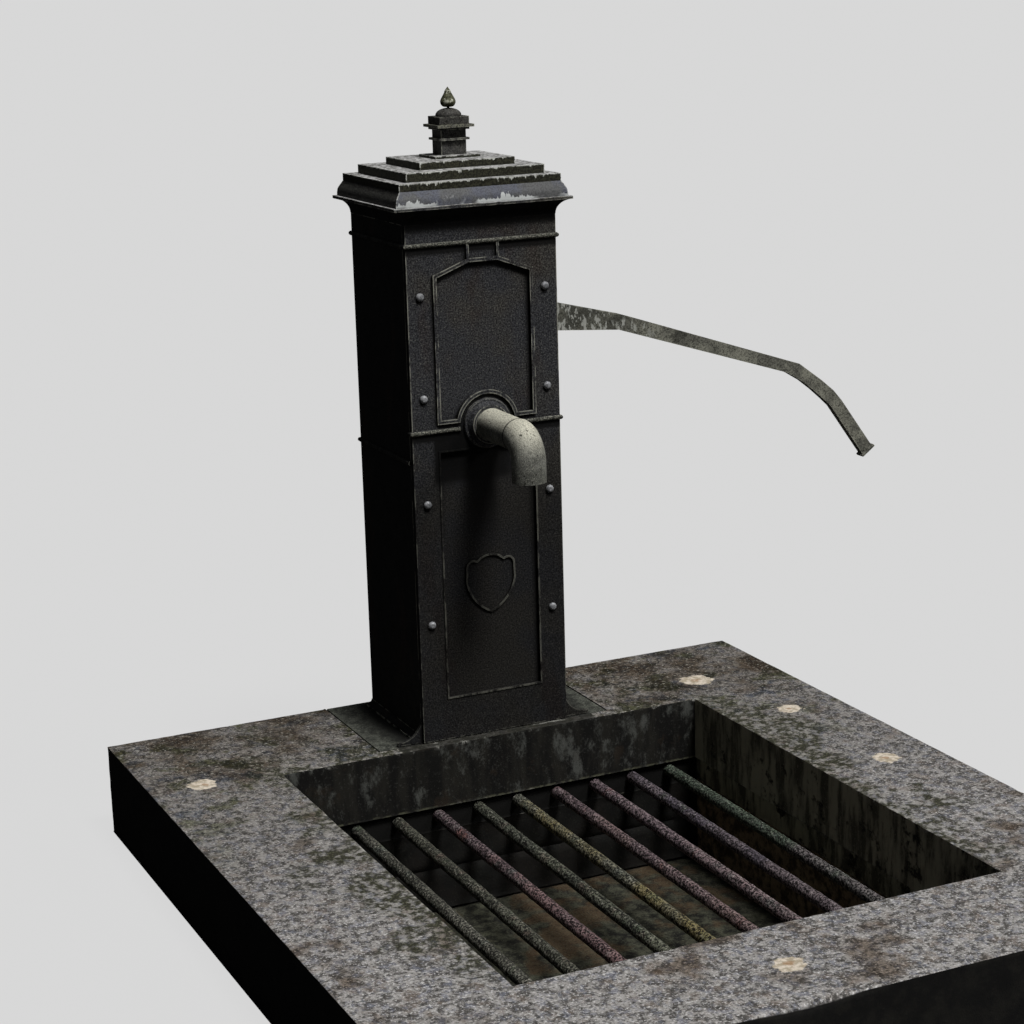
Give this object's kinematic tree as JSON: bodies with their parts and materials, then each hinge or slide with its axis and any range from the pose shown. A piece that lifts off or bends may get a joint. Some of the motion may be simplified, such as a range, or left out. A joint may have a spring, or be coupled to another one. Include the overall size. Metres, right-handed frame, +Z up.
{
  "type": "hand pillar pump",
  "caption": "Cast-iron pillar hand pump with stepped cap, finial, drop spout and side lever, on a stone slab with a grated drain pit; working lift-pump mechanism inside.",
  "frame": {"origin": "centre of the suction pipe's lower end, on the pump's axis, level with the underside of the drain pit", "axes": "+Z up along the pump's axis, -Y towards the side with the spout and the drain pit, +X towards the side with the lever"},
  "size_m": [1.6188, 1.547, 1.59],
  "materials": {
    "granite": "rough, weathered",
    "pit_masonry": "damp, mossy",
    "drain_iron": "rough",
    "grate_iron": "pitted, rusted",
    "base_iron": "weathered",
    "column_iron": "dark weathered paint",
    "bolt_steel": "dull",
    "spout_paint": "speckled, weathered",
    "lever_iron": "worn paint",
    "inner_iron": "rough",
    "bright_steel": "dull",
    "gunmetal": "dull",
    "cup_hide": "oiled",
    "packing_fibre": "greased",
    "gasket_rubber": "matte"
  },
  "bodies": {
    "standing": {"stone_slab": "granite", "pit_walls": "pit_masonry", "pit_floor": "pit_masonry", "drain_pipe": "drain_iron", "grate_bars": "grate_iron", "base_plate": "base_iron", "anchor_bolts": "bolt_steel", "column_casing": "column_iron", "front_cover": "column_iron", "cover_screws": "bolt_steel", "slot_escutcheon": "column_iron", "fulcrum_bracket": "inner_iron", "bracket_bolts": "bolt_steel", "cap": "column_iron", "cap_bridge": "inner_iron", "tie_stud": "bright_steel", "tie_nut": "bolt_steel", "finial_pedestal": "column_iron", "finial_drop": "column_iron", "spout_rosette": "column_iron", "spout_pipe": "spout_paint", "spout_elbow": "spout_paint", "barrel": "inner_iron", "head_gasket": "gasket_rubber", "stuffing_box": "inner_iron", "head_bolts": "bolt_steel", "gland_packing": "packing_fibre", "gland": "gunmetal", "gland_studs": "bolt_steel", "suction_pipe": "inner_iron", "foot_gasket": "gasket_rubber", "foot_valve_seat": "gunmetal", "flange_studs": "bolt_steel", "fulcrum_pin": "bright_steel", "fulcrum_washers": "bright_steel", "fulcrum_split_pins": "bright_steel"},
    "lever_arm": {"lever": "lever_iron", "lever_bush": "gunmetal", "lever_end_cap": "lever_iron"},
    "rod_and_piston": {"crosshead": "inner_iron", "crosshead_pin": "bright_steel", "crosshead_split_pins": "bright_steel", "pump_rod": "bright_steel", "piston_body": "gunmetal", "cup_leather": "cup_hide", "cup_follower": "inner_iron", "piston_nut": "bolt_steel", "valve_stop": "gunmetal"},
    "delivery_valve": {"piston_valve": "gunmetal"},
    "suction_valve": {"foot_valve": "gunmetal"}
  },
  "joints": [
    {"name": "lever_swing", "type": "hinge", "parent": "standing", "child": "lever_arm", "pos_m": [0.112, 0, 1.162], "axis": [0, -1, 0], "range_deg": [-6, 34]},
    {"name": "rod_slide", "type": "slide", "parent": "standing", "child": "rod_and_piston", "axis": [0, 0, 1], "range_m": [-0.06859, 0.01219]},
    {"name": "delivery_valve_lift", "type": "slide", "parent": "rod_and_piston", "child": "delivery_valve", "axis": [0, 0, 1], "range_m": [0, 0.008]},
    {"name": "suction_valve_lift", "type": "slide", "parent": "standing", "child": "suction_valve", "axis": [0, 0, 1], "range_m": [0, 0.01]}
  ],
  "couplings": [
    {"joint": "rod_slide", "follows": "lever_swing", "m_per_rad": -0.11541}
  ]
}
